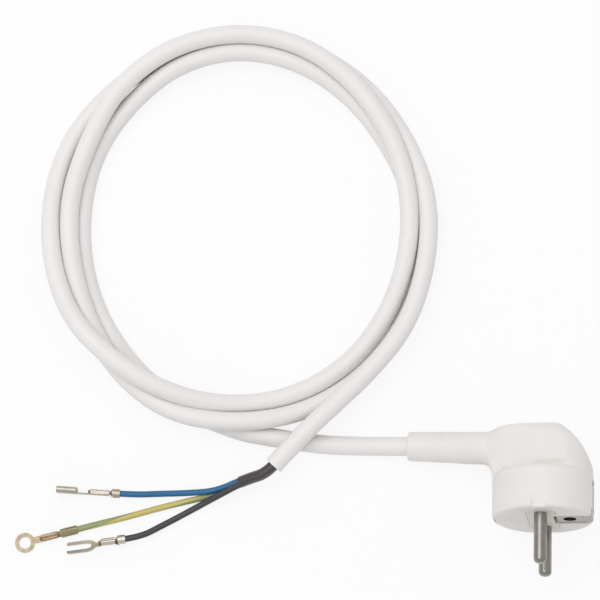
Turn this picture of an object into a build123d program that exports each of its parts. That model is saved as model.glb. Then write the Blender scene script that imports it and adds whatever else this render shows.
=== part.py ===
from build123d import *
import os
from math import cos, pi, radians, sin, sqrt, tan

# A white mains lead, coiled as it lies on a table: a right-angle earthed plug with two round pins,
# three turns of round cable, and a stripped end with three cores, each in a crimped terminal.
# Z is up and the table is z = 0. Lengths are millimetres, angles degrees.
os.makedirs("parts", exist_ok=True)

# Cable: sheath, insulated core, bare conductor, and the room left round each core in the sheath
sheath_d = 7.2
core_d = 2.4
conductor_d = 1.3
core_room = 0.05

# Each bend of a cable or core takes this share of the shorter run beside it
bend_share = 0.45

# Plug: depths run back from the face, c runs from the pin axis towards the cable, w along the pins
drum_d = 38.0
drum_depth = 17.0
shoulder_round = 2.0
rim_round = 1.2
back_rise = 6.8
back_bevel = 3.2
back_facing = 0.5
back_flat_c = 14.5
back_flat_end_c = -6.6
back_bulge_c = -14.4
back_bulge_depth = 27.8
nose_depth = 18.5
grip_width = 27.0
grip_low_drop = 8.3
grip_neck_width = 24.0
grip_neck_drop = 10.3
grip_plan_d = 29.0
grip_inset = 0.3
grip_sink = 4.0

# Strain-relief sleeve on the cable's axis, which leans back a little towards its mouth
cable_depth = 28.3
cable_lean = 2.5
grip_cone_angle = 43.0
sleeve_root_c = 20.6
sleeve_end_c = 51.3
sleeve_root_d = 12.6
sleeve_end_d = 11.0
sleeve_lip_round = 0.6
sheath_end_c = 14.0

# Pins, and the hard bridge that holds them
pin_d = 4.8
pin_pitch = 19.0
pin_reach = 19.0
pin_tip_flat_d = 1.2
pin_shank_d = 4.0
pin_shank_depth = 10.0
pin_crimp_d = 3.6
pin_crimp_depth = 15.0
bridge_depth = 8.5
bridge_width = 11.0
bridge_rim = 2.6
bridge_lug_width = 11.2
bridge_lug_c = -15.5

# Earth contacts: one folded strap with two side clips, and the sleeve for a socket's earth pin
strap_thick = 0.8
strap_width = 7.2
strap_bend = 1.2
strap_sunk = 0.3
strap_room = 1.2
strap_well = 3.0
strap_leg_c = -4.6
strap_cross_depth = 12.0
clip_inset = 0.5
clip_depth = 14.0
clip_room = 0.15
earth_pin_c = -10.0
earth_socket_id = 4.9
earth_socket_od = 5.6
earth_socket_depth = 15.0

# Guide notches in the drum's sides, in line with the pins
notch_width = 6.0
notch_cut = 1.8
notch_depth = 8.2

# The plug lies on its drum's shoulder: pins tilted up, cable end rolled down, a little turned
plug_x = 89.4
plug_y = -86.7
plug_pitch = 12.0
plug_roll = 11.0
plug_turn = -2.3

# Coil: an oval of turns, two beside each other on the table and one on top
coil_x = -24.0
coil_near_y = -45.8
coil_half_width = 67.3
coil_half_height = 72.5
coil_y = coil_near_y + coil_half_height
coil_spread = 9.2
coil_layer = 7.2

# Cable between plug and coil: first a lead-in straight out of the sleeve, then these points
plug_tail_lead = 11.0
plug_tail_route = [(11.5, -56.8, 3.9), (-1.0, -55.2, 3.7), (-13.0, -52.1, 4.4), (-24.0, -47.5, 5.6)]

# Cable between coil and stripped end: over the plug's tail, then down to the sheath's end
free_tail_route = [
    (26.0, -24.5, 6.5),
    (18.5, -34.5, 10.3),
    (10.5, -43.0, 11.4),
    (1.5, -52.3, 11.6),
    (-9.7, -64.0, 10.2),
]

# Cores from the sheath's end: a short straight lead, these points, then straight into the crimp
core_lead = 5.0
line_route = [
    (-21.4, -71.4, 7.2),
    (-31.3, -76.0, 3.8),
    (-39.0, -79.9, 2.2),
    (-46.8, -84.1, 1.6),
    (-54.0, -87.9, 2.4),
]
neutral_route = [(-22.5, -68.6, 7.1), (-32.6, -73.2, 3.7), (-44.0, -74.8, 2.4), (-54.5, -75.5, 3.0)]
earth_route = [(-22.0, -69.9, 4.5), (-32.0, -74.5, 1.3), (-51.0, -79.8, 1.25), (-67.0, -84.3, 1.4)]

# Dark sleeve shrunk over the three cores, as a share of the way from their lead to their first point
shrink_d = 6.0
shrink_share = 0.85

# Terminals: one gauge of sheet, crimped round insulation and conductor
sheet = 0.5
crimp_width = 2.6
crimp_height = 2.1
crimp_round = 0.55
crimp_groove_d = 0.7
wing_gap = 0.5
strand_show = 0.9
insulation_bite = 0.4
crimp_lead = 5.5

# Ring terminal, flat on the table
ring_at = (-85.5, -88.9)
ring_heading = 194.3
ring_wing_length = 6.4
ring_crimp_start = 7.7
ring_crimp_length = 6.0
ring_centre = 20.5
ring_od = 7.6
ring_hole_d = 4.4

# Fork terminal, rolled up onto the edge of one prong
fork_at = (-67.0, -93.6)
fork_heading = 187.4
fork_roll = 55.0
fork_wing_length = 2.9
fork_crimp_start = 3.9
fork_crimp_length = 5.4
fork_slot_end = 13.0
fork_reach = 22.4
fork_width = 8.0
fork_slot = 4.3
fork_tip_round = 1.2

# Push-on receptacle, stood on its edge
receptacle_at = (-69.4, -76.65)
receptacle_heading = 176.2
receptacle_wing_length = 3.0
receptacle_crimp_start = 4.0
receptacle_crimp_length = 7.2
receptacle_head_start = 16.4
receptacle_head_length = 7.6
receptacle_width = 7.4
receptacle_curl_d = 2.4
receptacle_tab_room = 0.9

# Plug planes: the face looks back into the plug, the side plane holds c and depth
drum_r = drum_d / 2
back_depth = cable_depth + back_rise
pitch = radians(plug_pitch)
plug_rise = (drum_depth - shoulder_round) * sin(pitch) + (drum_r - shoulder_round) * cos(pitch) + shoulder_round
plug_face = Plane(
    origin=(plug_x, plug_y, plug_rise),
    x_dir=Vector(-1, 0, 0).rotate(Axis.Z, plug_turn),
    z_dir=Vector(0, 1, 0).rotate(Axis.Z, plug_turn),
).moved(Rotation(plug_pitch, 0, -plug_roll))
plug_side = Plane(plug_face.origin, x_dir=plug_face.x_dir, z_dir=-plug_face.y_dir)


def plug_point(c, w, depth):
    """A place in the plug, given towards the cable, along the pins and back from the face."""
    return plug_face.from_local_coords((c, w, depth))


cable_root = Plane(plug_point(sleeve_root_c, 0, cable_depth), x_dir=plug_face.y_dir, z_dir=plug_face.x_dir)
cable_root = cable_root.moved(Rotation(-cable_lean, 0, 0))


def across_cable(c):
    """The plane square to the cable's axis at c, with its x along the pins."""
    return cable_root.offset(c - sleeve_root_c)


def route_radii(points):
    """One radius for each corner: as large an arc as the two runs beside it allow."""
    radii = []
    for before, corner, after in zip(points, points[1:], points[2:]):
        run_in = corner - before
        run_out = after - corner
        half_turn = radians(run_in.get_angle(run_out)) / 2
        radii.append(bend_share * min(run_in.length, run_out.length) / tan(half_turn))
    return radii


def tube(name, points, diameter):
    """A round tube along straight runs joined by tangent arcs."""
    points = [Vector(point) for point in points]
    radii = route_radii(points)
    with BuildPart() as run:
        with BuildLine() as path:
            FilletPolyline(*points, radius=radii)
        with BuildSketch(Plane(path.line @ 0, z_dir=path.line % 0)):
            Circle(diameter / 2)
        sweep(path=path.line)
    expected = path.wire().length * pi * diameter**2 / 4
    rounded = [round(radius / diameter, 1) for radius in radii]
    print(f"{name}: {path.wire().length:.1f} mm, radii in diameters {rounded},"
          f" volume {run.part.volume / expected:.4f} of section times length")
    return run.part


def keep(part, name):
    """Label a finished piece and write it."""
    part.label = name
    export_step(part, f"parts/{name}.step")


# Pins: turned, with a rounded tip in front and a crimp barrel behind
pin_parts = {}
for name, side in (("line_pin", 1), ("neutral_pin", -1)):
    pin_root = plug_point(0, side * pin_pitch / 2, 0)
    with BuildPart() as pin:
        with BuildSketch(Plane(pin_root, x_dir=plug_face.x_dir, z_dir=-plug_face.y_dir)):
            with BuildLine():
                tip = Polyline((0, pin_crimp_depth), (0, -pin_reach), (pin_tip_flat_d / 2, -pin_reach))
                tip_end = (pin_d / 2, -pin_reach + (pin_d - pin_tip_flat_d) / 2)
                RadiusArc(tip @ 1, tip_end, -(pin_d - pin_tip_flat_d) / 2)
                Polyline(
                    tip_end,
                    (pin_d / 2, 0),
                    (pin_shank_d / 2, 0),
                    (pin_shank_d / 2, pin_shank_depth),
                    (pin_crimp_d / 2, pin_shank_depth),
                    (pin_crimp_d / 2, pin_crimp_depth),
                    (0, pin_crimp_depth),
                )
            make_face()
        revolve(axis=Axis(pin_root, plug_face.z_dir))
    pin_parts[name] = pin.part
    keep(pin.part, name)

# Earth socket: a drawn sleeve behind the face
with BuildPart() as earth_socket:
    with BuildSketch(plug_face.offset(strap_sunk)):
        with Locations((earth_pin_c, 0)):
            Circle(earth_socket_od / 2)
            Circle(earth_socket_id / 2, mode=Mode.SUBTRACT)
    extrude(amount=earth_socket_depth - strap_sunk)
keep(earth_socket.part, "earth_socket")

# Earth strap: one strip folded from clip to clip, in the face on one side and behind the bridge on the other
clip_c = drum_r - clip_inset - strap_thick / 2
strap_mid = strap_sunk + strap_thick / 2
with BuildPart() as earth_strap:
    with BuildSketch(plug_side):
        with BuildLine():
            FilletPolyline(
                (-clip_c, clip_depth),
                (-clip_c, strap_mid),
                (strap_leg_c, strap_mid),
                (strap_leg_c, strap_cross_depth),
                (clip_c, strap_cross_depth),
                (clip_c, strap_mid),
                radius=strap_bend,
            )
        trace(line_width=strap_thick)
    extrude(amount=strap_width / 2, both=True)
    with BuildSketch(plug_face):
        with Locations((earth_pin_c, 0)):
            Circle(earth_socket_od / 2)
    extrude(amount=earth_socket_depth, mode=Mode.SUBTRACT)
keep(earth_strap.part, "earth_strap")

# Well round the strap in the face, and room beside its two clips
with BuildPart() as strap_window:
    with BuildSketch(plug_face):
        with Locations(((strap_leg_c - drum_r) / 2, 0)):
            Rectangle(drum_r + strap_leg_c + strap_thick, strap_width + 2 * strap_room)
    extrude(amount=strap_well)
    with BuildSketch(plug_face):
        for side in (-1, 1):
            with Locations((side * drum_r, 0)):
                Rectangle(2 * (clip_inset + strap_thick), strap_width + 2 * clip_room)
    extrude(amount=clip_depth + clip_room)

# Bridge: a stadium round both pins with a lug for the earth contact
with BuildPart() as pin_bridge:
    with BuildSketch(plug_face):
        SlotOverall(pin_pitch + pin_d + 2 * bridge_rim, bridge_width, rotation=90)
        with Locations((bridge_lug_c / 2, 0)):
            Rectangle(-bridge_lug_c, bridge_lug_width)
    extrude(amount=bridge_depth)
    for taken in (*pin_parts.values(), earth_strap.part, earth_socket.part, strap_window.part):
        add(taken, mode=Mode.SUBTRACT)
    with BuildSketch(plug_face):
        with Locations((earth_pin_c, 0)):
            Circle(earth_socket_id / 2)
    extrude(amount=bridge_depth, mode=Mode.SUBTRACT)
keep(pin_bridge.part, "pin_bridge")

# Cable inside the sleeve, and its three cores on their way to the pins and the strap
core_circle = core_d / sqrt(3) + core_room
with BuildPart() as cord_in_plug:
    with BuildSketch(across_cable(sheath_end_c)):
        Circle(sheath_d / 2)
    extrude(amount=sleeve_end_c - sheath_end_c)
keep(cord_in_plug.part, "cord_in_plug")

bend_c = sheath_end_c - 3 * core_d
drop_depth = pin_crimp_depth + 3 * core_d
inner_cores = {}
for name, side in (("line_core_in_plug", 1), ("neutral_core_in_plug", -1)):
    start = (side * (core_d / 2 + core_room), core_circle / 2, 0)
    pin_w = side * pin_pitch / 2
    inner_cores[name] = tube(
        name,
        [
            across_cable(sheath_end_c).from_local_coords(start),
            across_cable(bend_c).from_local_coords(start),
            plug_point(0, pin_w, drop_depth),
            plug_point(0, pin_w, pin_crimp_depth),
        ],
        core_d,
    )
inner_cores["earth_core_in_plug"] = tube(
    "earth_core_in_plug",
    [
        across_cable(sheath_end_c).from_local_coords((0, -core_circle, 0)),
        across_cable(0).from_local_coords((0, -core_circle, 0)),
        plug_point(0, 0, strap_cross_depth + strap_thick / 2),
    ],
    core_d,
)
for name, core in inner_cores.items():
    keep(core, name)

# Back of the grip, seen from the side, with its long edges bevelled
with BuildPart() as grip_side:
    with BuildSketch(plug_side):
        with BuildLine():
            ThreePointArc(
                (-drum_r, nose_depth),
                (back_bulge_c, back_bulge_depth),
                (back_flat_end_c, back_depth),
            )
            Polyline(
                (back_flat_end_c, back_depth),
                (back_flat_c, back_depth),
                (sleeve_root_c, cable_depth + sleeve_root_d / 2),
                (sleeve_root_c, cable_depth - sleeve_root_d / 2),
                (sleeve_root_c - grip_sink, drum_depth - grip_sink),
                (-drum_r, drum_depth - grip_sink),
                (-drum_r, nose_depth),
            )
        make_face()
    extrude(amount=grip_width / 2, both=True)
    back_faces = grip_side.faces().filter_by(lambda face: face.normal_at().dot(plug_face.z_dir) > back_facing)
    edge_rows = back_faces.edges().group_by(Axis(plug_face.origin, plug_face.y_dir))
    chamfer(edge_rows[0] + edge_rows[-1], back_bevel)

# Grip: the front, side and plan outlines of the moulding cut to one another
with BuildPart() as grip:
    with BuildSketch(Plane(plug_face.origin, x_dir=plug_face.y_dir, z_dir=plug_face.x_dir)):
        with BuildLine():
            Polyline(
                (0, back_depth),
                (grip_width / 2, back_depth),
                (grip_width / 2, cable_depth - grip_low_drop),
                (grip_neck_width / 2, cable_depth - grip_neck_drop),
                (grip_neck_width / 2, drum_depth - grip_sink),
                (0, drum_depth - grip_sink),
            )
            mirror(about=Plane.YZ)
        make_face()
    extrude(amount=drum_d, both=True)
    add(grip_side.part, mode=Mode.INTERSECT)
    with BuildSketch(plug_face):
        with Locations((grip_plan_d / 2 - drum_r + grip_inset, 0)):
            Circle(grip_plan_d / 2)
        with Locations((sleeve_root_c, 0)):
            Circle(sleeve_root_d / 2)
        make_hull()
    extrude(amount=back_depth, mode=Mode.INTERSECT)
    cone_run = sleeve_root_c + drum_r
    with BuildSketch(across_cable(sleeve_root_c)):
        Circle(sleeve_root_d / 2)
    with BuildSketch(across_cable(-drum_r)):
        Circle(sleeve_root_d / 2 + cone_run * tan(radians(grip_cone_angle)))
    loft(mode=Mode.INTERSECT)
    with BuildSketch(plug_side):
        with BuildLine():
            Polyline(
                (0, cable_depth),
                (sleeve_root_c, cable_depth),
                (sleeve_root_c, cable_depth - sleeve_root_d / 2),
                (drum_r - grip_inset, drum_depth),
                (drum_r - grip_inset, drum_depth - grip_sink),
                (0, drum_depth - grip_sink),
                close=True,
            )
        make_face()
    extrude(amount=sleeve_root_d / 2, both=True)

# Housing: drum, grip and sleeve in one moulding, closed round the metal and the cable
with BuildPart() as plug_housing:
    with BuildSketch(plug_face):
        Circle(drum_r)
    extrude(amount=drum_depth)
    rims = plug_housing.edges().sort_by(Axis(plug_face.origin, plug_face.z_dir))
    fillet(rims[0], rim_round)
    fillet(rims[-1], shoulder_round)
    add(grip.part)
    with BuildSketch(across_cable(sleeve_root_c - grip_sink)):
        Circle(sleeve_root_d / 2)
    with BuildSketch(across_cable(sleeve_end_c)):
        Circle(sleeve_end_d / 2)
    loft()
    fillet(plug_housing.edges().sort_by(Axis(plug_face.origin, plug_face.x_dir))[-1], sleeve_lip_round)
    with BuildSketch(plug_face):
        for side in (-1, 1):
            with Locations((0, side * drum_r)):
                Rectangle(notch_width, 2 * notch_cut)
    extrude(amount=notch_depth, mode=Mode.SUBTRACT)
    for taken in (
        pin_bridge.part,
        *pin_parts.values(),
        earth_strap.part,
        earth_socket.part,
        strap_window.part,
        cord_in_plug.part,
        *inner_cores.values(),
    ):
        add(taken, mode=Mode.SUBTRACT)
    with BuildSketch(plug_face):
        with Locations((earth_pin_c, 0)):
            Circle(earth_socket_id / 2)
    extrude(amount=earth_socket_depth, mode=Mode.SUBTRACT)
keep(plug_housing.part, "plug_housing")

# Coil: the outer shape of the turns, swept round an oval
with BuildPart() as cord_coil:
    with BuildLine(Plane((coil_x, coil_y, 0))) as oval:
        EllipticalCenterArc((0, 0), coil_half_width, coil_half_height, arc_size=360)
    start_way = oval.wire() % 0
    with BuildSketch(Plane(oval.wire() @ 0, x_dir=Vector(0, 0, 1).cross(start_way), z_dir=start_way)):
        with Locations((-coil_spread / 2, sheath_d / 2), (coil_spread / 2, sheath_d / 2)):
            Circle(sheath_d / 2)
        with Locations((0, sheath_d / 2 + coil_layer)):
            Circle(sheath_d / 2)
        make_hull()
    sweep(path=oval.wire())
keep(cord_coil.part, "cord_coil")

# Cable between sleeve and coil, and between coil and stripped end
sleeve_mouth = across_cable(sleeve_end_c).origin
tail_points = [sleeve_mouth, sleeve_mouth + plug_tail_lead * cable_root.z_dir, *plug_tail_route]
for name, points in (("cord_plug_tail", tail_points), ("cord_free_tail", free_tail_route)):
    whole_tail = tube(name, points, sheath_d)
    with BuildPart() as tail:
        add(whole_tail)
        add(cord_coil.part, mode=Mode.SUBTRACT)
    keep(tail.part, name)

# Terminal planes: x along the wire to the tip, z out of the sheet on the crimped side
def heading(angle):
    """A level direction, from +X towards +Y."""
    return Vector(1, 0, 0).rotate(Axis.Z, angle)


wire_axis = sheet + conductor_d / 2
wing_dip = (core_d - conductor_d) / 2
ring_base = Plane((*ring_at, wing_dip), x_dir=heading(ring_heading), z_dir=(0, 0, 1))
fork_lift = fork_width / 2 * sin(radians(fork_roll))
fork_flat = Plane((*fork_at, fork_lift), x_dir=heading(fork_heading), z_dir=(0, 0, 1))
fork_base = fork_flat.moved(Rotation(fork_roll, 0, 0))
receptacle_base = Plane(
    (*receptacle_at, receptacle_width / 2),
    x_dir=heading(receptacle_heading),
    z_dir=heading(receptacle_heading - 90),
)


def crimps(base, wing_length, crimp_start, crimp_length):
    """Base strip, insulation wings and conductor barrel, for a terminal on this plane."""
    across = Plane(base.origin, x_dir=base.y_dir, z_dir=base.x_dir)
    along = Plane(base.origin, x_dir=base.x_dir, z_dir=-base.y_dir)
    with BuildPart() as crimped:
        with BuildSketch(across):
            with Locations((0, wire_axis)):
                Circle(core_d / 2 + sheet)
                Circle(core_d / 2, mode=Mode.SUBTRACT)
            with Locations((0, wire_axis + (core_d + sheet) / 2)):
                Rectangle(wing_gap, 2 * sheet, mode=Mode.SUBTRACT)
        extrude(amount=wing_length)
        with BuildSketch(along):
            with BuildLine():
                Polyline(
                    (wing_length - sheet, -wing_dip),
                    (wing_length + insulation_bite, -wing_dip),
                    (crimp_start, 0),
                    (crimp_start, sheet),
                    (wing_length + insulation_bite, sheet - wing_dip),
                    (wing_length - sheet, sheet - wing_dip),
                    close=True,
                )
            make_face()
        extrude(amount=(crimp_width - sheet) / 2, both=True)
        with BuildSketch(across):
            with Locations((0, wire_axis)):
                Circle(core_d / 2)
        extrude(amount=wing_length, mode=Mode.SUBTRACT)
        with BuildSketch(across.offset(crimp_start)) as barrel:
            with Locations((0, crimp_height / 2)):
                Rectangle(crimp_width, crimp_height)
            fillet(barrel.vertices(), crimp_round)
            with Locations((0, crimp_height)):
                Circle(crimp_groove_d / 2, mode=Mode.SUBTRACT)
            with Locations((0, wire_axis)):
                Circle(conductor_d / 2, mode=Mode.SUBTRACT)
        extrude(amount=crimp_length)
    return crimped.part


# Ring terminal
ring_crimp_end = ring_crimp_start + ring_crimp_length
ring_crimps = crimps(ring_base, ring_wing_length, ring_crimp_start, ring_crimp_length)
with BuildPart() as ring_terminal:
    add(ring_crimps)
    with BuildSketch(ring_base):
        with Locations(((ring_crimp_end + ring_centre) / 2, 0)):
            Rectangle(ring_centre - ring_crimp_end, crimp_width)
        with Locations((ring_centre, 0)):
            Circle(ring_od / 2)
            Circle(ring_hole_d / 2, mode=Mode.SUBTRACT)
    extrude(amount=sheet)
keep(ring_terminal.part, "ring_terminal")

# Fork terminal
fork_crimp_end = fork_crimp_start + fork_crimp_length
fork_middle = fork_slot_end + fork_slot / 2
fork_crimps = crimps(fork_base, fork_wing_length, fork_crimp_start, fork_crimp_length)
with BuildPart() as fork_terminal:
    add(fork_crimps)
    with BuildSketch(fork_base) as fork_plate:
        with Locations(((fork_crimp_end + fork_middle) / 2, 0)):
            Rectangle(fork_middle - fork_crimp_end, crimp_width)
        with Locations((fork_middle, 0)):
            Circle(fork_width / 2)
        with Locations(((fork_middle + fork_reach) / 2, 0)):
            Rectangle(fork_reach - fork_middle, fork_width)
        with Locations((fork_middle, 0)):
            Circle(fork_slot / 2, mode=Mode.SUBTRACT)
        with Locations(((fork_middle + fork_reach) / 2, 0)):
            Rectangle(fork_reach - fork_middle, fork_slot, mode=Mode.SUBTRACT)
        tips = fork_plate.vertices().group_by(Axis.X)[-1]
        fillet(tips.sort_by(Axis.Y)[0], fork_tip_round)
        tips = fork_plate.vertices().group_by(Axis.X)[-1]
        fillet(tips.sort_by(Axis.Y)[-1], fork_tip_round)
    extrude(amount=sheet)
keep(fork_terminal.part, "fork_terminal")

# Push-on receptacle: a plate with both edges curled over the tab's room
receptacle_crimp_end = receptacle_crimp_start + receptacle_crimp_length
curl_y = (receptacle_width - receptacle_curl_d) / 2
receptacle_crimps = crimps(
    receptacle_base,
    receptacle_wing_length,
    receptacle_crimp_start,
    receptacle_crimp_length,
)
with BuildPart() as receptacle_terminal:
    add(receptacle_crimps)
    with BuildSketch(receptacle_base):
        with BuildLine():
            Polyline(
                (receptacle_crimp_end, -crimp_width / 2),
                (receptacle_head_start, -curl_y),
                (receptacle_head_start, curl_y),
                (receptacle_crimp_end, crimp_width / 2),
                close=True,
            )
        make_face()
    extrude(amount=sheet)
    head_start = Plane(
        receptacle_base.from_local_coords((receptacle_head_start, 0, 0)),
        x_dir=receptacle_base.y_dir,
        z_dir=receptacle_base.x_dir,
    )
    with BuildSketch(head_start):
        with Locations((0, sheet / 2)):
            Rectangle(2 * curl_y, sheet)
        with Locations((-curl_y, receptacle_curl_d / 2), (curl_y, receptacle_curl_d / 2)):
            Circle(receptacle_curl_d / 2)
            Circle(receptacle_curl_d / 2 - sheet, mode=Mode.SUBTRACT)
        with Locations((0, sheet + receptacle_tab_room / 2)):
            Rectangle(receptacle_width - 2 * sheet, receptacle_tab_room, mode=Mode.SUBTRACT)
    extrude(amount=receptacle_head_length)
keep(receptacle_terminal.part, "receptacle_terminal")

# Cores and their bared strands, each from the sheath's end into its terminal
sheath_end = Vector(*free_tail_route[-1])
sheath_way = (sheath_end - Vector(*free_tail_route[-2])).normalized()
sheath_face = Plane(sheath_end, x_dir=Vector(0, 0, 1).cross(sheath_way), z_dir=sheath_way)
cores = []
for name, angle, route, base, wing_length, crimp_start, crimp_length in (
    ("line", 30, line_route, fork_base, fork_wing_length, fork_crimp_start, fork_crimp_length),
    (
        "neutral",
        150,
        neutral_route,
        receptacle_base,
        receptacle_wing_length,
        receptacle_crimp_start,
        receptacle_crimp_length,
    ),
    ("earth", 270, earth_route, ring_base, ring_wing_length, ring_crimp_start, ring_crimp_length),
):
    start = (core_circle * cos(radians(angle)), core_circle * sin(radians(angle)))
    core_end = wing_length + insulation_bite
    core = tube(
        f"{name}_core",
        [
            sheath_face.from_local_coords((*start, 0)),
            sheath_face.from_local_coords((*start, core_lead)),
            *route,
            base.from_local_coords((-crimp_lead, 0, wire_axis)),
            base.from_local_coords((core_end, 0, wire_axis)),
        ],
        core_d,
    )
    cores.append(core)
    keep(core, f"{name}_core")
    bared = Plane(base.from_local_coords((core_end, 0, wire_axis)), x_dir=base.y_dir, z_dir=base.x_dir)
    with BuildPart() as strands:
        with BuildSketch(bared):
            Circle(conductor_d / 2)
        extrude(amount=crimp_start + crimp_length + strand_show - core_end)
    keep(strands.part, f"{name}_strands")

# Shrunk sleeve: closed round the cores from the sheath's end
bundle = sum((Vector(*route[0]) for route in (line_route, neutral_route, earth_route)), Vector()) / len(cores)
shrink_bend = sheath_end + core_lead * sheath_way
shrink_end = shrink_bend + shrink_share * (bundle - shrink_bend)
whole_sleeve = tube("core_sleeve", [sheath_end, shrink_bend, shrink_end], shrink_d)
with BuildPart() as core_sleeve:
    add(whole_sleeve)
    for core in cores:
        add(core, mode=Mode.SUBTRACT)
keep(core_sleeve.part, "core_sleeve")
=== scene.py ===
# %% [markdown]
# A white mains lead lies coiled on a table. It has a right-angle earthed plug at one end, three loose
# turns of round cable, and at the other end three cores with crimped terminals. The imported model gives
# the frame: its metal and hard plastic stay and get finishes, and the cable, the cores and the soft
# plug moulding are made here in the same place. Blender works in metres, with Z up. Shapes are written
# in millimetres and multiplied by MM where Blender takes them.

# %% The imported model
from math import cos, pi, radians, sin

import bpy
from mathutils import Matrix, Vector


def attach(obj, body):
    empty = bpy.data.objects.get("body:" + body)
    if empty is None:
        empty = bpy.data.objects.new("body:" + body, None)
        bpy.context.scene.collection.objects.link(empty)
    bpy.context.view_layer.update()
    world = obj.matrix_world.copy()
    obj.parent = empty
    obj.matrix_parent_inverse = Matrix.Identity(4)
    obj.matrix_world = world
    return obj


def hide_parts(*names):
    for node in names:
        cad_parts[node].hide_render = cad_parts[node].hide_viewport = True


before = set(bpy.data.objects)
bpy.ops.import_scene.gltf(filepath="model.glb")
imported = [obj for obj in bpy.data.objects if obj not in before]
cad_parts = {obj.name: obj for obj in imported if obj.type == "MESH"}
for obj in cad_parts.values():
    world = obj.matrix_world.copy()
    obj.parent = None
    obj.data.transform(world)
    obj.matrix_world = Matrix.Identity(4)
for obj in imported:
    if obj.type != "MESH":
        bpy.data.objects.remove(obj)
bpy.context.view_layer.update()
MM = 0.001

# %% [markdown]
# The picture is taken from almost straight above, from about a metre away with a long lens, so the
# coil keeps its round outline and the plug shows its flat side. A camera can be aimed by a constraint,
# but one rotation about X is all that is needed here, because the view leans only towards the front.

# %% Camera
view_target = Vector((-1.0, -1.5, 6.0)) * MM
view_lean = radians(8.5)
view_distance = 1.0
view_from = view_target + view_distance * Vector((0, -sin(view_lean), cos(view_lean)))
bpy.ops.object.camera_add(location=view_from, rotation=(view_lean, 0, 0))
camera = bpy.context.object
camera.data.sensor_width = 36.0
camera.data.lens = 156.7
bpy.context.scene.camera = camera
bpy.context.scene.view_settings.view_transform = "Standard"
print("camera at", [round(x, 3) for x in camera.location], "lens", camera.data.lens)

# %% [markdown]
# Surfaces and light are small node trees. One function turns the sRGB colours that a picture program
# shows into the linear values that the renderer mixes, and one function adds a node, sets its values
# and links its inputs, so that each tree reads as a list of what it is made of.


# %% Colour and nodes
def linear(code):
    """An sRGB hex colour as linear red, green, blue and alpha."""
    parts = [int(code[i:i + 2], 16) / 255 for i in (1, 3, 5)]
    return [p / 12.92 if p <= 0.04045 else ((p + 0.055) / 1.055) ** 2.4 for p in parts] + [1.0]


def add_node(tree, kind, settings, links=()):
    """Add one node. Settings are input values or properties, and links join an input to an output."""
    made = tree.nodes.new("ShaderNode" + kind)
    for name, value in settings.items():
        if isinstance(name, str) and hasattr(made, name):
            setattr(made, name, value)
        else:
            made.inputs[name].default_value = value
    for name, output in links:
        tree.links.new(output, made.inputs[name])
    return made


WHITE = (1, 1, 1, 1)
print("the cable's white in linear values:", [round(x, 3) for x in linear("#ECE8E6")])

# %% [markdown]
# The lead lies on a plain white table. A white floor can be had by lighting it harder, but that would
# bleach a white cable. So the floor glows a little for the camera and for reflections, and is ordinary
# white paint for all other light, which keeps the soft shadow under the cable.

# %% Floor
floor_side = 8.0
glow_share = 0.85
bpy.ops.object.select_all(action="DESELECT")
bpy.ops.mesh.primitive_plane_add(size=floor_side)
floor = bpy.context.object
floor.name = "floor"
floor_paint = bpy.data.materials.new("floor_paint")
floor_paint.use_nodes = True
tree = floor_paint.node_tree
tree.nodes.clear()
paint = add_node(tree, "BsdfDiffuse", {"Color": linear("#F1F0EF")})
glow = add_node(tree, "Emission", {"Color": WHITE, "Strength": 1.0})
rays = add_node(tree, "LightPath", {})
seen = rays.outputs["Is Camera Ray"]
for kind in ("Is Glossy Ray", "Is Transmission Ray"):
    either = add_node(tree, "Math", {"operation": "MAXIMUM"}, [(0, seen), (1, rays.outputs[kind])])
    seen = either.outputs[0]
share = add_node(tree, "Math", {"operation": "MULTIPLY", 1: glow_share}, [(0, seen)])
shaders = [(0, share.outputs[0]), (1, paint.outputs[0]), (2, glow.outputs[0])]
both = add_node(tree, "MixShader", {}, shaders)
add_node(tree, "OutputMaterial", {}, [("Surface", both.outputs[0])])
floor.data.materials.append(floor_paint)
print("floor", floor.dimensions.x, "m wide")

# %% [markdown]
# A product picture of a white thing needs light from everywhere, or its dark side turns grey. So the
# world glows evenly, a little cool, and one big soft lamp high up, to the left and to the back, gives
# the cable its round shading. What the camera sees past the floor is plain white.

# %% Light
fill_level = 0.78
world = bpy.data.worlds.new("studio")
bpy.context.scene.world = world
world.use_nodes = True
tree = world.node_tree
tree.nodes.clear()
rays = add_node(tree, "LightPath", {})
fill = add_node(tree, "Background", {"Color": linear("#F3F5F7"), "Strength": fill_level})
plain = add_node(tree, "Background", {"Color": WHITE, "Strength": 1.0})
shaders = [(0, rays.outputs["Is Camera Ray"]), (1, fill.outputs[0]), (2, plain.outputs[0])]
both = add_node(tree, "MixShader", {}, shaders)
add_node(tree, "OutputWorld", {}, [("Surface", both.outputs[0])])
lamp_place = Vector((-0.40, 0.25, 1.30))
lamp_turn = (-lamp_place).to_track_quat("-Z", "Y").to_euler()
bpy.ops.object.light_add(type="AREA", location=lamp_place, rotation=lamp_turn)
lamp = bpy.context.object
lamp.name = "softbox"
lamp.data.size = 1.2
lamp.data.energy = 8.0
print("lamp", lamp.data.energy, "W")

# %% [markdown]
# The cable is one length of flexible lead. It leaves the plug's sleeve, runs along the table into three
# turns that were dropped and not tied, and ends cut back where the cores come out. The two ends are
# points in the room. The turns are places round the coil's middle, one every twenty degrees, starting
# at the near side and going clockwise as seen from above: a distance from the middle and a height.
# Where one turn lies across another, its heights rise and fall slowly, as a stiff lead does.

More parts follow.
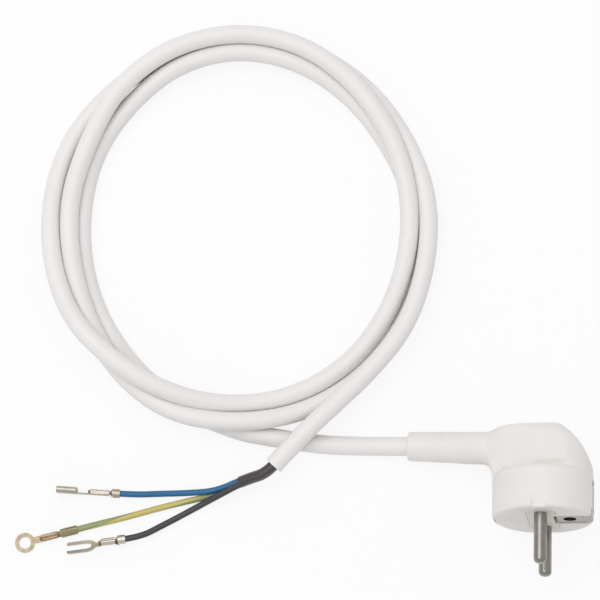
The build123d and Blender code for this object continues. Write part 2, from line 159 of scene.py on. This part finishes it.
# %% Route of the cable
coil_middle = (-25.0, 25.5)
points_per_turn = 18
plug_run = [
    (40.2, -57.7, 6.0), (31.3, -57.6, 4.3), (21.8, -57.4, 3.7), (10.4, -57.1, 3.6),
    (-1.0, -55.8, 3.6), (-12.5, -53.9, 3.6),
]
first_turn = [
    (76.1, 3.6), (70.1, 3.6), (64.7, 3.6), (61.6, 3.6), (59.9, 3.6), (60.2, 3.6),
    (62.5, 3.6), (64.7, 4.0), (68.4, 7.1), (70.3, 7.5), (69.6, 6.9), (68.1, 4.3),
    (66.9, 3.6), (68.5, 3.6), (71.7, 3.6), (72.6, 3.6), (73.4, 3.7), (73.9, 5.2),
]
second_turn = [
    (74.1, 11.1), (74.5, 10.2), (70.6, 7.3), (65.9, 9.1), (64.1, 9.0), (64.9, 9.2),
    (66.0, 9.2), (71.4, 10.6), (75.0, 10.9), (76.5, 10.9), (75.7, 10.8), (71.8, 10.8),
    (68.6, 11.6), (66.5, 10.8), (65.3, 9.0), (65.4, 5.8), (66.2, 4.2), (66.7, 4.2),
]
third_turn = [
    (67.1, 6.8), (67.9, 13.4), (68.7, 16.3), (71.4, 14.3), (71.3, 10.0), (72.1, 6.6),
    (73.4, 4.6), (73.0, 3.6), (74.8, 3.6), (76.2, 3.6), (76.0, 3.6), (75.1, 3.8),
    (73.4, 6.2), (73.5, 9.6), (72.9, 10.9), (73.9, 10.8),
]
free_run = [(25.2, -29.9, 10.9), (11.0, -43.1, 11.3), (1.8, -51.6, 11.3), (-11.1, -65.4, 10.1)]
outset = 1 / cos(pi / points_per_turn)  # a spline runs inside its control points by up to this share
cable_route = list(plug_run)
for count, (reach, height) in enumerate(first_turn + second_turn + third_turn):
    turn = 2 * pi * count / points_per_turn
    across, along = outset * reach * sin(turn), outset * reach * cos(turn)
    cable_route.append((coil_middle[0] - across, coil_middle[1] - along, height))
cable_route += free_run
print("route points:", len(cable_route))

# %% [markdown]
# A cord can be a mesh swept along a path, but a curve keeps its length easy to measure and its line
# easy to change. So it is a NURBS spline with the route as its control points, given roundness by a
# bevel. Blender measures a curve's box with the radius at its points, so the thickness is given there,
# on a bevel of one metre. The order is set after the points are added, because a spline with too few
# points falls back to straight runs.


# %% Cable
def lay_cord(name, route_mm, diameter, smoothness):
    """One NURBS spline with the route's points as its control points, round in section."""
    data = bpy.data.curves.new(name, "CURVE")
    data.dimensions = "3D"
    spline = data.splines.new("NURBS")
    spline.points.add(len(route_mm) - 1)
    for place, point in zip(spline.points, route_mm):
        place.co = (point[0] * MM, point[1] * MM, point[2] * MM, 1)
        place.radius = diameter / 2
    spline.order_u = 3
    spline.use_endpoint_u = True
    spline.resolution_u = smoothness
    data.bevel_depth = 1.0
    data.bevel_resolution = 6
    data.use_fill_caps = True
    cord = bpy.data.objects.new(name, data)
    bpy.context.collection.objects.link(cord)
    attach(cord, "root")
    print(name, "has", len(spline.points), "control points, order", spline.order_u)
    return cord


sheath_d = 7.2 * MM
cable = lay_cord("sheath", cable_route, sheath_d, 8)
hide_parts("cord_plug_tail", "cord_coil", "cord_free_tail")

# %% [markdown]
# Three insulated cores come out of the cut sheath. Each is a thin cord of its own that starts just
# inside the sheath, keeps the sheath's direction for a little, sinks to the table and goes straight
# into its crimp. Their roots are given as steps beside and above the sheath's axis. The terminal and
# the bare strands at a core's end are nodes of the imported model.

# %% Cores
core_d = 2.4 * MM
core_inside = 1.5
core_lead = 4.0
sheath_end = Vector(free_run[-1])
sheath_way = Vector((-0.689, -0.720, -0.086))
beside = Vector((0.720, -0.689, 0.0))
above = Vector((-0.059, -0.062, 0.993))
line_route = [
    (-22.1, -71.4, 8.2), (-31.3, -76.0, 5.0), (-39.0, -79.9, 2.2), (-46.8, -84.1, 1.6),
    (-54.0, -87.9, 2.4), (-61.7, -92.0, 3.9), (-70.4, -93.1, 3.9),
]
neutral_route = [
    (-22.6, -70.1, 6.15), (-32.9, -74.5, 3.6), (-44.0, -75.2, 2.4), (-54.5, -75.5, 3.0),
    (-63.8, -75.9, 3.7), (-72.7, -75.3, 3.7),
]
earth_route = [
    (-22.1, -71.3, 4.15), (-32.0, -75.6, 1.6), (-51.0, -79.8, 1.25), (-67.0, -84.3, 1.4),
    (-80.2, -87.5, 1.7), (-92.1, -90.6, 1.7),
]
cores = {}
for name, across, up, route, length, terminal, slot in (
    ("line", 0.70, 1.90, line_route, 0.069, "fork_terminal", "dark_insulation"),
    ("neutral", -0.75, -0.05, neutral_route, 0.066, "receptacle_terminal", "blue_insulation"),
    ("earth", 0.60, -2.05, earth_route, 0.088, "ring_terminal", "green_yellow_insulation"),
):
    root = sheath_end + across * beside + up * above
    start = [root - core_inside * sheath_way, root + core_lead * sheath_way]
    core = lay_cord(name + "_insulation", start + route, core_d, 8)
    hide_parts(name + "_core")
    cores[name] = core
print("cores:", ", ".join(cores))

# %% [markdown]
# Where the cores leave the sheath, a short dark sleeve is shrunk over them. It is thin tubing that hugs
# the three cores, which lie here nearly above one another, so it is oval: narrow seen from above. A
# curve that carries an oval along the bundle's line gives the tube, which is then made a mesh, and
# Solidify gives it a wall.


# %% Shrunk sleeve
def pick(piece):
    """Make one object the only one selected, and the active one."""
    bpy.ops.object.select_all(action="DESELECT")
    piece.select_set(True)
    bpy.context.view_layer.objects.active = piece


bundle_wide, bundle_high = 4.4 * MM, 6.9 * MM
sleeve_wall = 0.25 * MM
bpy.ops.object.select_all(action="DESELECT")
bpy.ops.curve.primitive_bezier_circle_add(radius=1.0)
oval = bpy.context.object
oval.scale.x = bundle_wide / bundle_high
bpy.ops.object.transform_apply()
sleeve_run = [sheath_end - core_inside * sheath_way, sheath_end + core_lead * sheath_way]
sleeve_run += [(-19.9, -69.9, 7.3), (-23.4, -71.2, 5.9)]
shrunk = lay_cord("core_sleeve_tube", sleeve_run, bundle_high, 10)
shrunk.data.bevel_mode = "OBJECT"
shrunk.data.bevel_object = oval
shrunk.data.use_fill_caps = False
pick(shrunk)
bpy.ops.object.convert(target="MESH")
shrunk = bpy.context.object
bpy.data.objects.remove(oval)
wall = shrunk.modifiers.new("wall", "SOLIDIFY")
wall.thickness = sleeve_wall
wall.offset = -1.0
bpy.ops.object.modifier_apply(modifier=wall.name)
bpy.ops.object.shade_smooth_by_angle(angle=radians(40))
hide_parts("core_sleeve")
print("sleeve:", len(shrunk.data.polygons), "faces,", [round(x / MM, 1) for x in shrunk.dimensions])

# %% [markdown]
# The plug is one soft moulding: a round drum behind the face, a flattened grip across it, and a tapered
# sleeve for the cable. A subdivision cage could carry that shape, but its edges come from three
# outlines that meet at odd angles. So the outlines are drawn as on a drawing board, pulled into blocks,
# and cut to one another, in the plug's own axes: x runs from the pins to the cable, y along the two
# pins, and z from the face back into the plug. At the end the whole piece is put in its place.

# %% Drawing board for the plug
plug_axes = Matrix((
    (-0.982428, -0.182465, 0.039255, 0.0894),
    (-0.000245, 0.211585, 0.977360, -0.0867),
    (-0.186639, 0.960176, -0.207912, 0.021747),
    (0, 0, 0, 1),
))
planes = {
    "front": (Vector((0, MM, 0)), Vector((0, 0, MM)), Vector((MM, 0, 0))),
    "side": (Vector((MM, 0, 0)), Vector((0, 0, MM)), Vector((0, MM, 0))),
    "plan": (Vector((MM, 0, 0)), Vector((0, MM, 0)), Vector((0, 0, MM))),
}


def draw_block(name, outline, plane, low, high):
    """Draw an outline in mm by extruding a vertex from point to point, fill it and pull it into a block."""
    first, second, pull = planes[plane]
    points = [x * first + y * second + low * pull for x, y in outline]
    bpy.ops.object.select_all(action="DESELECT")
    bpy.ops.mesh.primitive_plane_add(size=MM)
    block = bpy.context.object
    block.name = name
    bpy.ops.object.mode_set(mode="EDIT")
    bpy.ops.mesh.select_mode(type="VERT")
    bpy.ops.mesh.merge(type="CENTER")
    bpy.ops.transform.translate(value=points[0])
    for before, after in zip(points, points[1:]):
        bpy.ops.mesh.extrude_vertices_move(TRANSFORM_OT_translate={"value": after - before})
    bpy.ops.mesh.select_all(action="SELECT")
    bpy.ops.mesh.edge_face_add()
    bpy.ops.mesh.extrude_region_move(TRANSFORM_OT_translate={"value": (high - low) * pull})
    bpy.ops.mesh.select_all(action="SELECT")
    bpy.ops.mesh.normals_make_consistent(inside=False)
    bpy.ops.object.mode_set(mode="OBJECT")
    return block


def combine(piece, other, operation):
    """Join, cut or trim a piece with another block, which is used up."""
    step = piece.modifiers.new("combine", "BOOLEAN")
    step.operation = operation
    step.object = other
    bpy.context.view_layer.objects.active = piece
    bpy.ops.object.modifier_apply(modifier=step.name)
    bpy.data.objects.remove(other)


def bevel_edges(piece, chosen, width, steps):
    """Bevel the edges that a rule chooses by the places of their two ends in mm."""
    pick(piece)
    bpy.ops.object.mode_set(mode="EDIT")
    bpy.ops.mesh.select_mode(type="EDGE")
    bpy.ops.mesh.select_all(action="DESELECT")
    bpy.ops.object.mode_set(mode="OBJECT")
    for edge in piece.data.edges:
        edge.select = chosen(*[piece.data.vertices[i].co / MM for i in edge.vertices])
    bpy.ops.object.mode_set(mode="EDIT")
    bpy.ops.mesh.bevel(offset=width * MM, segments=steps)
    bpy.ops.object.mode_set(mode="OBJECT")


def arc(middle, radius, start, end, steps):
    """Points of an arc in mm, from one angle in degrees to another."""
    angles = [radians(start + (end - start) * i / steps) for i in range(steps + 1)]
    return [(middle[0] + radius * cos(a), middle[1] + radius * sin(a)) for a in angles]


print("plug faces", [round(-x, 3) for x in plug_axes.col[2][:3]])

# %% [markdown]
# The grip is what three outlines have in common. From the front it is a block with a narrower neck,
# from the side its back bows over from the nose and then runs nearly level to the cable, and in plan
# it is a round nose that narrows to the sleeve. The edges of its back are bevelled before the cut.

# %% Grip
drum_radius = 19.0
grip_half, neck_half = 13.5, 12.0
grip_low, grip_high, grip_end = 13.0, 36.0, 21.0
bow_middle, bow_radius, back_bevel = (9.307, 10.286), 29.475, 3.2
nose_middle, nose_radius = (-4.2, 0.0), 14.5
root_x, root_radius = 20.6, 6.3
flank_angle = 71
half_front = [(grip_half, grip_high), (grip_half, 20.0), (neck_half, 18.0), (neck_half, grip_low)]
front_view = half_front + [(-w, depth) for w, depth in reversed(half_front)]
grip = draw_block("grip", front_view, "front", -drum_radius, grip_end)
side_view = arc(bow_middle, bow_radius, 163.82, 122.66, 12) + [(14.5, 35.1), (root_x, 34.6)]
side_view += [(root_x, 22.0), (16.6, grip_low), (-drum_radius, grip_low)]
back = draw_block("side_outline", side_view, "side", -grip_half, grip_half)


def on_back(one, other):
    """Whether an edge runs along the back's outline, short of the sleeve."""
    return abs(one.y - other.y) < 1 and min(one.z, other.z) > 18 and one.x + other.x < 41


bevel_edges(back, on_back, back_bevel, 1)
combine(grip, back, "INTERSECT")
plan_view = arc(nose_middle, nose_radius, flank_angle, 360 - flank_angle, 72)
plan_view += arc((root_x, 0.0), root_radius, -flank_angle, flank_angle, 24)
combine(grip, draw_block("plan_outline", plan_view, "plan", grip_low - 1, grip_high), "INTERSECT")
print("grip:", len(grip.data.polygons), "faces,", [round(x / MM, 1) for x in grip.dimensions])

# %% [markdown]
# The grip runs in to the sleeve like a cone, and a cone from the cable's axis trims it to that. A
# gusset under the sleeve joins it to the drum. The cable's axis leans back by two and a half degrees, so
# the cone and the sleeve are turned by that much.

# %% Cone, gusset and sleeve
cable_lean = radians(2.5)
cable_depth = 28.3
cable_way = Vector((cos(cable_lean), 0, sin(cable_lean)))
cable_root = Vector((root_x, 0, cable_depth))
cable_turn = (0, pi / 2 - cable_lean, 0)
cone_length, cone_radius = 39.6, 43.2
sleeve_length, sleeve_sunk = 30.7, 4.0
sunk_radius, mouth_radius, mouth_round = 6.39, 5.5, 0.6


def add_cone(wide, narrow, start, end):
    """A cone on the cable's axis, between two places in mm along it from the sleeve's root."""
    bpy.ops.object.select_all(action="DESELECT")
    middle = cable_root + (start + end) / 2 * cable_way
    bpy.ops.mesh.primitive_cone_add(
        vertices=96, radius1=wide * MM, radius2=narrow * MM, depth=(end - start) * MM,
        location=middle * MM, rotation=cable_turn,
    )
    return bpy.context.object


combine(grip, add_cone(cone_radius, root_radius, -cone_length, 0), "INTERSECT")
under_sleeve = [(0, cable_depth), (root_x, cable_depth), (root_x, 22.0)]
under_sleeve += [(18.7, 17.0), (18.7, grip_low), (0, grip_low)]
combine(grip, draw_block("gusset", under_sleeve, "side", -root_radius, root_radius), "UNION")
sleeve = add_cone(sunk_radius, mouth_radius, -sleeve_sunk, sleeve_length)
sleeve.name = "sleeve"
bpy.ops.object.transform_apply()
mouth = cable_root + sleeve_length * cable_way


def at_mouth(*ends):
    """Whether an edge lies in the sleeve's open end."""
    return all(abs((end - mouth).dot(cable_way)) < 0.01 for end in ends)


bevel_edges(sleeve, at_mouth, mouth_round, 4)
print("sleeve:", len(sleeve.data.polygons), "faces,", [round(x / MM, 1) for x in sleeve.dimensions])

# %% [markdown]
# The drum is a plain cylinder with a small round at the face and a larger one at its shoulder. Grip and
# sleeve are joined to it. Its two sides in line with the pins have guide notches, which a wedge cuts:
# they are deepest at the face and run out towards the shoulder.

# %% Drum
drum_depth = 17.0
rim_round, shoulder_round = 1.2, 2.0
notch_half = 2.6
notch_wedge = [(17.2, -1.2), (19.6, 8.6), (22.0, 8.6), (22.0, -1.2)]
bpy.ops.object.select_all(action="DESELECT")
drum_middle = (0, 0, drum_depth / 2 * MM)
bpy.ops.mesh.primitive_cylinder_add(
    vertices=128, radius=drum_radius * MM, depth=drum_depth * MM, location=drum_middle,
)
housing = bpy.context.object
housing.name = "plug_moulding"
bpy.ops.object.transform_apply()
for height, radius in ((0.0, rim_round), (drum_depth, shoulder_round)):
    bevel_edges(housing, lambda *ends: all(abs(end.z - height) < 0.01 for end in ends), radius, 6)
combine(housing, grip, "UNION")
combine(housing, sleeve, "UNION")
for side in (-1, 1):
    notch = [(side * w, depth) for w, depth in notch_wedge]
    combine(housing, draw_block("notch", notch, "front", -notch_half, notch_half), "DIFFERENCE")
print("moulding before blending:", len(housing.data.polygons), "faces")

# %% [markdown]
# A soft moulding has no sharp edges, and its faces run into one another. Fillets on edges that meet at
# odd angles fail easily, so the solid is turned into an even skin of small faces by a voxel remesh, and
# the skin is then relaxed zone by zone, much over the grip and little over the drum, until the edges
# are as round as the real ones.


# %% Blend the moulding
def relax(piece, chosen, times):
    """Smooth the vertices that a rule chooses by their place in mm."""
    pick(piece)
    bpy.ops.object.mode_set(mode="EDIT")
    bpy.ops.mesh.select_mode(type="VERT")
    bpy.ops.mesh.select_all(action="DESELECT")
    bpy.ops.object.mode_set(mode="OBJECT")
    picked = 0
    for vertex in piece.data.vertices:
        vertex.select = chosen(vertex.co / MM)
        picked += vertex.select
    bpy.ops.object.mode_set(mode="EDIT")
    bpy.ops.mesh.vertices_smooth(factor=0.5, repeat=times)
    bpy.ops.object.mode_set(mode="OBJECT")
    print("relaxed", picked, "vertices", times, "times")


housing.data.remesh_voxel_size = 0.4 * MM
housing.data.use_remesh_fix_poles = False
pick(housing)
bpy.ops.object.voxel_remesh()
for zone, times in (
    (lambda at: at.z > 15.5 and at.x < 24, 20),  # shoulder, grip and the sleeve's root
    (lambda at: at.z > 22 and at.x < 20, 24),  # back of the grip
    (lambda at: at.z > 16 and 13 < at.x < 24, 12),  # cone
    (lambda at: 16 < at.z < 27 and 11 < at.x < 25, 50),  # gusset
    (lambda at: abs(at.x) < 6 and abs(at.y) > 13 and at.z < 12, 6),  # guide notches
    (lambda at: at.x < 49, 3),  # everything but the sleeve's mouth
):
    relax(housing, zone, times)
print("moulding:", len(housing.data.polygons), "faces")

# %% [markdown]
# The face has openings with crisp edges: the seat of the hard bridge that holds the pins, a window for
# the earth strap, slots for its two side clips, and the hole for a socket's earth pin. They are drawn
# as blocks and cut after the blending, so that it can't soften them. The sleeve gets a short bore a
# hair wider than the cable. Cutting a fine skin leaves slivers, which are merged away at the end.

# %% Openings
seat_radius, seat_y, seat_depth = 5.62, 9.0, 8.6
lug_half, lug_end = 5.72, -15.62
earth_x, earth_radius, earth_depth, earth_sides = -10.0, 2.84, 15.0, 48
bore_radius, bore_depth = 3.72, 8.0
sliver = 0.005 * MM
seat = arc((0, seat_y), seat_radius, 0, 180, 16)
seat += [(-seat_radius, lug_half), (lug_end, lug_half), (lug_end, -lug_half), (-seat_radius, -lug_half)]
seat += arc((0, -seat_y), seat_radius, 180, 360, 16)
openings = draw_block("openings", seat, "plan", -1, seat_depth)
for x_low, x_high, half_width, deep in (
    (-21, -3.8, 4.8, 3.05),  # the strap's window
    (-21, -17.7, 3.75, 14.1),  # the outer clip's slot
    (17.7, 21, 3.75, 14.1),  # the slot of the clip on the cable's side
):
    window = [(x_low, -half_width), (x_high, -half_width), (x_high, half_width), (x_low, half_width)]
    combine(openings, draw_block("window", window, "plan", -1.5, deep), "UNION")
earth_hole = arc((earth_x, 0), earth_radius, 0, 360 - 360 / earth_sides, earth_sides - 1)
combine(openings, draw_block("earth_hole", earth_hole, "plan", -2, earth_depth), "UNION")
combine(housing, openings, "DIFFERENCE")
bpy.ops.object.select_all(action="DESELECT")
bpy.ops.mesh.primitive_cylinder_add(
    vertices=64, radius=bore_radius * MM, depth=bore_depth * MM, location=mouth * MM, rotation=cable_turn,
)
combine(housing, bpy.context.object, "DIFFERENCE")
pick(housing)
bpy.ops.object.mode_set(mode="EDIT")
bpy.ops.mesh.select_all(action="SELECT")
bpy.ops.mesh.remove_doubles(threshold=sliver)
bpy.ops.mesh.quads_convert_to_tris()
bpy.ops.mesh.dissolve_degenerate(threshold=sliver)
bpy.ops.object.mode_set(mode="OBJECT")
print("moulding with openings:", len(housing.data.polygons), "faces")

# %% [markdown]
# Until now the moulding stood upright on its face at the origin. The plug's axes turn it and move it to
# where it lies on the table, and applying them puts that place into the mesh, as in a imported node.

# %% Put the moulding in its place
pick(housing)
housing.matrix_world = plug_axes
bpy.ops.object.transform_apply()
bpy.ops.object.shade_smooth_by_angle(angle=radians(38))
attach(housing, "root")
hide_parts("plug_housing")
print("moulding in place:", [round(x / MM, 1) for x in housing.dimensions])

# %% [markdown]
# Soft PVC is what the sheath and the plug are made of. The sheath is extruded, so its skin is satin,
# very slightly wavy, and carries faint lines along its length. A bevelled curve has a UV map that runs
# along and around the cord. Winding that map round a circle gives a noise without a seam, and
# stretching it lengthwise draws the lines. The colour drifts between two near whites over a few
# centimetres, as pigment does. Like every finish here, it leads a colour, a roughness and a bump into
# one shader, and two functions begin and end that.


# %% Sheath finish
def new_finish(name, shader_values):
    """A material with one Principled shader, whose constant values are set on its own sockets."""
    material = bpy.data.materials.new(name)
    material.use_nodes = True
    shader = material.node_tree.nodes["Principled BSDF"]
    for socket, value in shader_values.items():
        shader.inputs[socket].default_value = value
    return material, material.node_tree, shader


def end_finish(tree, shader, tint, gloss, relief):
    """Lead a colour, a roughness and a bump into the shader."""
    tree.links.new(tint.outputs[2], shader.inputs["Base Color"])
    tree.links.new(gloss.outputs[0], shader.inputs["Roughness"])
    tree.links.new(relief.outputs[0], shader.inputs["Normal"])


extruded_pvc, tree, shader = new_finish("extruded_soft_pvc", {"IOR": 1.53, "Specular IOR Level": 0.4})
place = add_node(tree, "TexCoord", {})
on_object = [("Vector", place.outputs["Object"])]
drift = add_node(tree, "TexNoise", {"Scale": 1 / (30 * MM), "Detail": 2.0}, on_object)
whites = {"data_type": "RGBA", 6: linear("#ECE8E6"), 7: linear("#E5E1DE")}
tint = add_node(tree, "Mix", whites, [(0, drift.outputs["Fac"])])
skin = add_node(tree, "TexNoise", {"Scale": 1 / (3 * MM), "Detail": 3.0}, on_object)
gloss = add_node(tree, "MapRange", {"To Min": 0.38, "To Max": 0.52}, [("Value", skin.outputs["Fac"])])
along = add_node(tree, "SeparateXYZ", {}, [(0, place.outputs["UV"])])
around = add_node(tree, "Math", {"operation": "MULTIPLY", 1: 2 * pi}, [(0, along.outputs["Y"])])
ring_x = add_node(tree, "Math", {"operation": "COSINE"}, [(0, around.outputs[0])])
ring_y = add_node(tree, "Math", {"operation": "SINE"}, [(0, around.outputs[0])])
stretch = add_node(tree, "Math", {"operation": "MULTIPLY", 1: 30.0}, [(0, along.outputs["X"])])
parts = [("X", ring_x.outputs[0]), ("Y", ring_y.outputs[0]), ("Z", stretch.outputs[0])]
wound = add_node(tree, "CombineXYZ", {}, parts)
lines = add_node(tree, "TexNoise", {"Scale": 3.5, "Detail": 2.0}, [("Vector", wound.outputs[0])])
heights = [(0, lines.outputs["Fac"]), (2, skin.outputs["Fac"])]
wavy = add_node(tree, "Math", {"operation": "MULTIPLY_ADD", 1: 1.5}, heights)
relief = add_node(tree, "Bump", {"Strength": 0.3, "Distance": 0.08 * MM}, [("Height", wavy.outputs[0])])
end_finish(tree, shader, tint, gloss, relief)
cable.data.materials.append(extruded_pvc)
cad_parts["cord_in_plug"].material_slots[0].material = extruded_pvc
print("sheath finish:", len(tree.nodes), "nodes")

# %% [markdown]
# The plug is the same PVC, but moulded in a spark-eroded tool, which leaves an even matt grain. The real
# grain is about a fifth of a millimetre and would vanish in the picture, so it is drawn twice as coarse.
# Handling polishes and greys a soft plug unevenly, and a broad noise does that to colour and gloss.

# %% Plug finish
moulded_pvc, tree, shader = new_finish("moulded_soft_pvc", {"IOR": 1.53, "Specular IOR Level": 0.4})
place = add_node(tree, "TexCoord", {})
on_object = [("Vector", place.outputs["Object"])]
handled = add_node(tree, "TexNoise", {"Scale": 1 / (12 * MM), "Detail": 3.0}, on_object)
whites = {"data_type": "RGBA", 6: linear("#EAE5E2"), 7: linear("#E2DDD8")}
tint = add_node(tree, "Mix", whites, [(0, handled.outputs["Fac"])])
gloss = add_node(tree, "MapRange", {"To Min": 0.42, "To Max": 0.60}, [("Value", handled.outputs["Fac"])])
grain = add_node(tree, "TexNoise", {"Scale": 1 / (0.4 * MM), "Detail": 1.0}, on_object)
shallow = {"Strength": 0.2, "Distance": 0.04 * MM}
relief = add_node(tree, "Bump", shallow, [("Height", grain.outputs["Fac"])])
end_finish(tree, shader, tint, gloss, relief)
housing.data.materials.append(moulded_pvc)
print("plug finish:", len(tree.nodes), "nodes")

# %% [markdown]
# The bridge is a hard, glass-filled polyester. Fibres make its surface slightly cloudy and give it fine
# specks, and its own colour is ivory, not white.

# %% Bridge finish
filled_polyester, tree, shader = new_finish("glass_filled_polyester", {"IOR": 1.57})
place = add_node(tree, "TexCoord", {})
on_object = [("Vector", place.outputs["Object"])]
cloud = add_node(tree, "TexNoise", {"Scale": 1 / (4 * MM), "Detail": 4.0}, on_object)
ivories = {"data_type": "RGBA", 6: linear("#DFDAD2"), 7: linear("#D2CCC2")}
tint = add_node(tree, "Mix", ivories, [(0, cloud.outputs["Fac"])])
fibre = add_node(tree, "TexVoronoi", {"Scale": 1 / (0.6 * MM)}, on_object)
specks = fibre.outputs["Distance"]
gloss = add_node(tree, "MapRange", {"To Min": 0.32, "To Max": 0.5}, [("Value", specks)])
relief = add_node(tree, "Bump", {"Strength": 0.15, "Distance": 0.03 * MM}, [("Height", specks)])
end_finish(tree, shader, tint, gloss, relief)
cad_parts["pin_bridge"].material_slots[0].material = filled_polyester
print("bridge finish:", len(tree.nodes), "nodes")

# %% [markdown]
# Pins are drawn brass rod, polished along their length and nickel plated. Polishing leaves fine lines
# along the pin, and pushing it into sockets dulls the plating in patches. The lines follow the pin's own
# axis, so a Mapping node turns the object's coordinates into the plug's axes and then squeezes them
# lengthwise. Real lines are a few hundredths of a millimetre apart and are drawn ten times as coarse.

# %% Pin finish
plug_back = plug_axes.inverted().to_euler()
nickel, tree, shader = new_finish("nickel_plated_brass", {"Metallic": 1.0})
place = add_node(tree, "TexCoord", {})
turned = add_node(tree, "Mapping", {"Rotation": plug_back}, [("Vector", place.outputs["Object"])])
on_pin = [("Vector", turned.outputs[0])]
worn = add_node(tree, "TexNoise", {"Scale": 1 / (2.5 * MM), "Detail": 3.0}, on_pin)
greys = {"data_type": "RGBA", 6: linear("#A39E99"), 7: linear("#837E79")}
tint = add_node(tree, "Mix", greys, [(0, worn.outputs["Fac"])])
gloss = add_node(tree, "MapRange", {"To Min": 0.22, "To Max": 0.38}, [("Value", worn.outputs["Fac"])])
squeezed = add_node(tree, "Mapping", {"Scale": (1.0, 1.0, 0.04)}, on_pin)
fine = {"Scale": 1 / (0.4 * MM), "Detail": 2.0}
lines = add_node(tree, "TexNoise", fine, [("Vector", squeezed.outputs[0])])
shallow = {"Strength": 0.2, "Distance": 0.02 * MM}
relief = add_node(tree, "Bump", shallow, [("Height", lines.outputs["Fac"])])
end_finish(tree, shader, tint, gloss, relief)
for name in ("line_pin", "neutral_pin"):
    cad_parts[name].material_slots[0].material = nickel
print("pin finish:", len(tree.nodes), "nodes")

# %% [markdown]
# Strip metal is rolled, so its lines run one way, and it is cut and folded after plating. One tree serves
# five metals: the plated earth contacts, the tinned fork, the dull receptacle, the bare brass ring and
# the copper strands differ in colour, in how dull they have become and in how fine their lines are.


# %% Strip metals
def rolled_metal(name, bright, dull, low, high, line_gap):
    """A rolled metal with lines that far apart in mm, blotches of tarnish and uneven gloss."""
    material, tree, shader = new_finish(name, {"Metallic": 1.0})
    place = add_node(tree, "TexCoord", {})
    on_object = [("Vector", place.outputs["Object"])]
    blotch = add_node(tree, "TexNoise", {"Scale": 1 / (1.5 * MM), "Detail": 4.0}, on_object)
    colours = {"data_type": "RGBA", 6: linear(bright), 7: linear(dull)}
    tint = add_node(tree, "Mix", colours, [(0, blotch.outputs["Fac"])])
    gloss = add_node(tree, "MapRange", {"To Min": low, "To Max": high}, [("Value", blotch.outputs["Fac"])])
    rolled = add_node(tree, "Mapping", {"Scale": (0.1, 1.0, 1.0)}, on_object)
    fine = {"Scale": 1 / (line_gap * MM), "Detail": 2.0}
    lines = add_node(tree, "TexNoise", fine, [("Vector", rolled.outputs[0])])
    shallow = {"Strength": 0.15, "Distance": 0.02 * MM}
    relief = add_node(tree, "Bump", shallow, [("Height", lines.outputs["Fac"])])
    end_finish(tree, shader, tint, gloss, relief)
    return material


plated_strip = rolled_metal("nickel_plated_strip", "#B0ABA6", "#8A8580", 0.22, 0.36, 0.3)
tinned_brass = rolled_metal("tinned_brass", "#DDD6CA", "#BFB6A9", 0.32, 0.5, 0.3)
nickelled_brass = rolled_metal("dull_nickelled_brass", "#CCC6B8", "#A59D8E", 0.34, 0.52, 0.3)
bare_brass = rolled_metal("bare_brass", "#B4A78E", "#8B7D66", 0.34, 0.52, 0.3)
copper = rolled_metal("annealed_copper", "#AE7654", "#82533A", 0.32, 0.48, 0.2)
for material, names in (
    (plated_strip, ("earth_strap", "earth_socket")),
    (tinned_brass, ("fork_terminal",)),
    (nickelled_brass, ("receptacle_terminal",)),
    (bare_brass, ("ring_terminal",)),
    (copper, ("line_strands", "neutral_strands", "earth_strands")),
):
    for name in names:
        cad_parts[name].material_slots[0].material = material
    print(material.name, "on", ", ".join(names))

# %% [markdown]
# Core insulation is thin extruded PVC with a little more gloss than the sheath. Line is dark and neutral
# blue. The earth core has two colours that run along it and wind slowly round, so its stripe reads
# the cord's own UV map: around it for the two halves, and along it for the winding. The shrunk sleeve
# is another plastic, but as thin and as smooth, so it takes the same tree.


# %% Core finishes
def core_plastic(name, colour, shade, stripe=None):
    """Thin smooth plastic, its colour drifting a little towards a shade, with or without a stripe."""
    material, tree, shader = new_finish(name, {"IOR": 1.53})
    place = add_node(tree, "TexCoord", {})
    on_object = [("Vector", place.outputs["Object"])]
    drift = add_node(tree, "TexNoise", {"Scale": 1 / (6 * MM), "Detail": 2.0}, on_object)
    colours = {"data_type": "RGBA", 6: linear(colour), 7: linear(shade)}
    tint = add_node(tree, "Mix", colours, [(0, drift.outputs["Fac"])])
    if stripe:
        along = add_node(tree, "SeparateXYZ", {}, [(0, place.outputs["UV"])])
        both_ways = [(0, along.outputs["X"]), (2, along.outputs["Y"])]
        wound = add_node(tree, "Math", {"operation": "MULTIPLY_ADD", 1: 1.6}, both_ways)
        phase = add_node(tree, "Math", {"operation": "MULTIPLY", 1: 2 * pi}, [(0, wound.outputs[0])])
        half = add_node(tree, "Math", {"operation": "SINE"}, [(0, phase.outputs[0])])
        narrow = {"From Min": -0.06, "From Max": 0.06}
        edge = add_node(tree, "MapRange", narrow, [("Value", half.outputs[0])])
        striped = {"data_type": "RGBA", 7: linear(stripe)}
        tint = add_node(tree, "Mix", striped, [(0, edge.outputs[0]), (6, tint.outputs[2])])
    skin = add_node(tree, "TexNoise", {"Scale": 1 / (0.8 * MM), "Detail": 2.0}, on_object)
    gloss = add_node(tree, "MapRange", {"To Min": 0.3, "To Max": 0.45}, [("Value", skin.outputs["Fac"])])
    shallow = {"Strength": 0.2, "Distance": 0.03 * MM}
    relief = add_node(tree, "Bump", shallow, [("Height", skin.outputs["Fac"])])
    end_finish(tree, shader, tint, gloss, relief)
    return material


core_finishes = {
    "line": core_plastic("dark_core_pvc", "#443E42", "#352F34"),
    "neutral": core_plastic("blue_core_pvc", "#156898", "#0E5C86"),
    "earth": core_plastic("green_yellow_core_pvc", "#97A169", "#86925F", stripe="#C8B868"),
}
for name, material in core_finishes.items():
    cores[name].data.materials.append(material)
    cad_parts[name + "_core_in_plug"].material_slots[0].material = material
    print(material.name, "on", cores[name].name)
shrunk.data.materials.append(core_plastic("shrunk_polyolefin", "#453E43", "#3B3439"))
